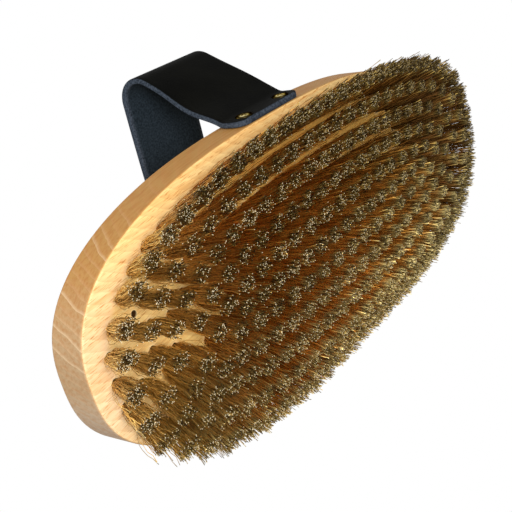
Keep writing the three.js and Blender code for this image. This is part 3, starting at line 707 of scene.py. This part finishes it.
def leather_strap():
    """A flat band carried along the strap's line. Its section is a rectangle with edges rounded over
    0.45 mm; its half width at a cut end is W/2 - r + sqrt(r^2 - (r - d)^2) for a distance d from that
    end, which rounds the corners. Under each washer the grain side dips by a bell of 0.25 mm, and round
    it swells in a ring of 0.12 mm, as leather does under a tightened screw. The band is a little
    twisted: each slope hangs in to the hand by 3 mm * hang * (0.4 - 0.6 * x / half the width), the most
    at its -X edge."""
    line, hang = strap_line()
    run = np.gradient(line, axis=0)
    run = run / np.linalg.norm(run, axis=1, keepdims=True)
    normal = np.stack([-run[:, 1], run[:, 0]], -1)          # away from the hand
    length = np.concatenate([[0], np.cumsum(np.linalg.norm(np.diff(line, axis=0), axis=1))])
    from_end = np.minimum(length, length[-1] - length).clip(0, STRAP_CORNER)
    side = STRAP_WIDTH / 2 - STRAP_CORNER + np.sqrt(
        STRAP_CORNER ** 2 - (STRAP_CORNER - from_end) ** 2)

    half, soft, across = STRAP_THICKNESS / 2, 0.45, 22
    turn = np.linspace(0, np.pi / 2, 4)
    corner_in, corner_out = soft * (1 - np.sin(turn)), half - soft * (1 - np.cos(turn))
    flat = np.linspace(-1, 1, across + 2)[1:-1]
    # One trip round the section: the part of the width, the inset from the side, and the thickness.
    rounded = np.ones(2 * len(turn))
    part = np.concatenate([flat, rounded, flat[::-1], -rounded])
    inset = np.concatenate([0 * flat, corner_in, corner_in[::-1], 0 * flat,
                            corner_in, corner_in[::-1]])
    thick = np.concatenate([0 * flat + half, corner_out, -corner_out[::-1], 0 * flat - half,
                            -corner_out, corner_out[::-1]])
    edge = np.concatenate([0 * flat, rounded, 0 * flat, rounded])
    # The dye of the grain side ends where the edge turns down.
    dyed = np.array([1, 1, 0.3, 0, 0, 0, 0, 0])
    outside = np.concatenate([0 * flat + 1, dyed, 0 * flat, dyed[::-1]])

    x = part * (side[:, None] - soft)
    x = np.where(np.abs(part) < 1, x, x + np.sign(part) * (soft - inset))
    above_screws = np.minimum(length, length[-1] - length)[:, None] - (SCREW_Z - STRAP_END_Z)
    away = np.hypot(np.abs(x) - SCREW_X, above_screws)
    swell = SWELL * np.exp(-((away - SWELL_RADIUS) / SWELL_WIDTH) ** 2)
    dent = swell - DIP * np.exp(-(away / DIP_RADIUS) ** 2)
    twist = 0.4 - 0.6 * x / (STRAP_WIDTH / 2)
    stand = thick + dent * (thick > 0) - STRAP_HANG * hang[:, None] * twist
    points = np.empty(x.shape + (3,))
    points[..., 0] = x
    points[..., 1:] = line[:, None] + stand[..., None] * normal[:, None]

    columns = len(part)
    faces = [grid_faces(len(line), columns)[:, ::-1], np.arange(columns)[None],
             ((len(line) - 1) * columns + np.arange(columns)[::-1])[None]]
    ends = np.zeros(x.shape)
    ends[[0, -1]] = 1
    # The cut edge is darker on the leg at +Y with painted shade, up to 50 mm and fading by 62.
    edge_out_of_shade = np.where(line[:, 0] > 0, ramp(line[:, 1], 50, 62), 1)[:, None]
    return make_piece("leather_strap", points.reshape(-1, 3), faces, LEATHER, ["strap"],
                      values={"outside": outside * (1 - ends),
                              "edge": np.maximum(edge * edge_out_of_shade, ends)})


leather_strap()


# ---- screws and washers ----
def turned_piece(name, profile, closed, place, side, finish, replaced):
    """A profile of (radius, height) turned round a screw's axis in 40 steps. Its height counts from the
    grain side of the leather, outward along side * Y. A closed profile makes a ring, and the ends of an
    open one are capped."""
    around = 40
    profile = np.array(profile)
    rows = len(profile)
    angle = 2 * np.pi * np.arange(around) / around
    points = np.empty((rows, around, 3))
    points[..., 0] = place[0] + profile[:, :1] * np.cos(angle)
    points[..., 1] = side * (STRAP_LINE_Y + STRAP_THICKNESS / 2 + profile[:, 1:])
    points[..., 2] = place[1] + profile[:, :1] * np.sin(angle)
    if closed:
        faces = [grid_faces(rows + 1, around) % (rows * around)]
    else:
        faces = [grid_faces(rows, around), np.arange(around)[None, ::-1],
                 ((rows - 1) * around + np.arange(around))[None]]
    if side < 0:
        faces = [turned[:, ::-1] for turned in faces]
    make_piece(name, points.reshape(-1, 3), faces, finish, [replaced])


# Points of (radius, height). A washer is drawn into the leather, so its rolled lip stands only 0.3 mm
# proud, and the domed head of its screw 0.15 mm more.
WASHER_PROFILE = [(1.6, -0.45), (2.25, 0.02), (2.42, 0.17), (2.6, 0.27), (2.78, 0.3), (2.93, 0.24),
                  (3.03, 0.1), (3.05, -0.05), (2.95, -0.3), (1.5, -0.5)]
SCREW_PROFILE = [(0.3, 0.45), (0.8, 0.42), (1.3, 0.33), (1.7, 0.19), (1.95, 0.05), (2.05, -0.05),
                 (1.98, -0.14), (1.2, -0.75), (1.2, -9.8), (0.1, -12)]
for end, x in (("front", SCREW_X), ("rear", -SCREW_X)):
    for hand, side in (("left", 1), ("right", -1)):
        turned_piece(f"cup_washer_{end}_{hand}", WASHER_PROFILE, True, (x, SCREW_Z), side,
                     WASHER_BRASS, f"washer_{end}_{hand}")
        turned_piece(f"raised_screw_{end}_{hand}", SCREW_PROFILE, False, (x, SCREW_Z), side,
                     SCREW_BRASS, f"screw_{end}_{hand}")


# ---- floor, light and camera ----
def pale_floor():
    """A pale floor that only shows from above, because the camera of the photograph looks up at the
    bristles from beneath it. It takes the shadow and holds back no light from below."""
    finish, tree, shader = new_material("pale_floor_paper")
    speck = node(tree, "TexNoise", {"Vector": node(tree, "TexCoord").outputs["Object"], "Scale": 60})
    paper = node(tree, "Mix", {FACTOR: speck.outputs[0], A: linear("#F1F1EF"), B: linear("#F7F7F6")},
                 data_type="RGBA")
    tree.links.new(paper.outputs[MIXED], shader.inputs["Base Color"])
    shader.inputs["Roughness"].default_value = 0.9
    below = node(tree, "NewGeometry").outputs["Backfacing"]
    clear = node(tree, "BsdfTransparent")
    shown = node(tree, "MixShader", {0: below, 1: shader.outputs[0], 2: clear.outputs[0]})
    tree.links.new(shown.outputs[0], tree.nodes["Material Output"].inputs["Surface"])
    reach, level = 3, -0.0002       # in metres: it lies just under the bristle tips
    mesh = bpy.data.meshes.new("pale_floor")
    mesh.from_pydata([(-reach, -reach, level), (reach, -reach, level), (reach, reach, level),
                      (-reach, reach, level)], [], [(0, 1, 2, 3)])
    mesh.materials.append(finish)
    floor = bpy.data.objects.new("pale_floor", mesh)
    bpy.context.scene.collection.objects.link(floor)
    floor.visible_shadow = False
    floor.visible_diffuse = False
    floor.visible_glossy = False


def soft_lamp(name, place, size, watts):
    """A square softbox at a place in metres, turned to the brush."""
    lamp = bpy.data.lights.new(name, "AREA")
    lamp.size = size
    lamp.energy = watts
    made = bpy.data.objects.new(name, lamp)
    made.location = place
    aim = Vector((0, 0, 0.02)) - made.location
    made.rotation_euler = aim.to_track_quat("-Z", "Y").to_euler()
    bpy.context.scene.collection.objects.link(made)


def studio():
    """White surroundings for the camera and for reflections, a dimmer even light on the surfaces, a
    softbox on the bristles and one from above."""
    world = bpy.data.worlds.new("studio")
    world.use_nodes = True
    bpy.context.scene.world = world
    tree = world.node_tree
    path = node(tree, "LightPath")
    seen = node(tree, "Math", {0: path.outputs["Is Camera Ray"], 1: path.outputs["Is Glossy Ray"]},
                operation="MAXIMUM")
    seen = node(tree, "Math", {0: seen.outputs[0], 1: path.outputs["Is Transmission Ray"]},
                operation="MAXIMUM")
    even = node(tree, "Background", {"Color": (1, 1, 1, 1), "Strength": 0.45})
    white = node(tree, "Background", {"Color": (1, 1, 1, 1), "Strength": 1.0})
    both = node(tree, "MixShader", {0: seen.outputs[0], 1: even.outputs[0], 2: white.outputs[0]})
    tree.links.new(both.outputs[0], tree.nodes["World Output"].inputs["Surface"])
    soft_lamp("bristle_softbox", (-0.268, -0.152, -0.272), 0.14, 1.95)
    soft_lamp("top_softbox", (-0.35, -0.55, 0.85), 0.6, 3)


def photo_camera():
    """The camera of the photograph, found by fitting the outline of the block: below the bristle tips,
    off the -X end on the -Y side."""
    place = Vector((-0.218585, -0.104679, -0.153955))
    right = Vector((0.5737, 0.24447, -0.78173))
    down = Vector((-0.44013, 0.89693, -0.04251))
    ahead = Vector((0.69077, 0.36845, 0.62216))
    lens = bpy.data.cameras.new("photo_camera")
    lens.lens, lens.sensor_width = 59.33, 36        # in millimetres
    lens.clip_start = 0.01
    camera = bpy.data.objects.new("photo_camera", lens)
    turned = Matrix((right, -down, -ahead)).transposed()
    camera.matrix_world = Matrix.Translation(place) @ turned.to_4x4()
    bpy.context.scene.collection.objects.link(camera)
    bpy.context.scene.camera = camera


pale_floor()
studio()
photo_camera()

view = bpy.context.scene.view_settings
view.view_transform = "Standard"
